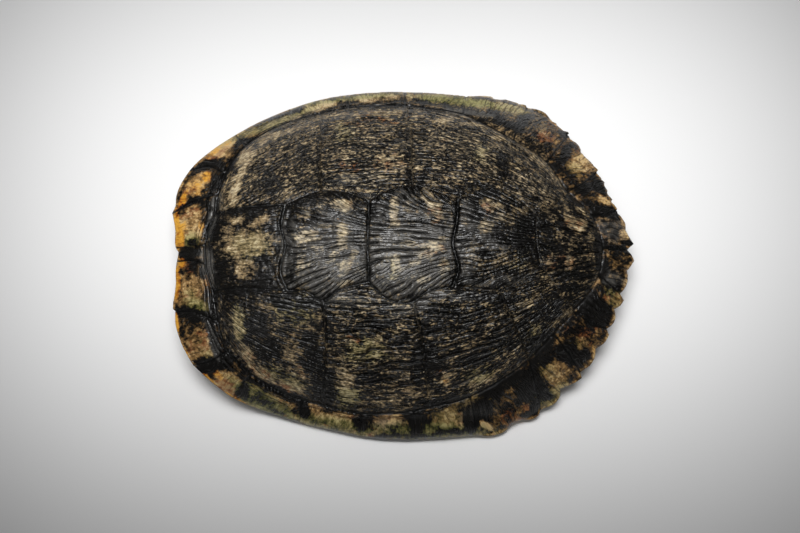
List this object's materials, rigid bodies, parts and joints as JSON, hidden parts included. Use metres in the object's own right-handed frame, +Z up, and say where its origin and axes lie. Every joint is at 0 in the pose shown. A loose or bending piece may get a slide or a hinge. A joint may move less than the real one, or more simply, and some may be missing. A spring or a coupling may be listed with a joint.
{
  "type": "turtle shell",
  "caption": "Domed upper shell of a freshwater turtle with seamed horn scutes, a toothed rear edge and a hollow bony underside; it lies on its cut bridge edges.",
  "frame": {"origin": "centre of the outer box at the level of the two flat bridge faces that the shell lies on", "axes": "+X towards the tail end, +Y towards the animal's right side, +Z up through the top of the dome"},
  "size_m": [0.22, 0.1716, 0.056],
  "materials": {
    "horn": "satin horn with fine lengthwise wrinkles, near black with tan and olive blotches, over cream bone"
  },
  "bodies": {
    "root": {"carapace": "horn"}
  },
  "joints": []
}
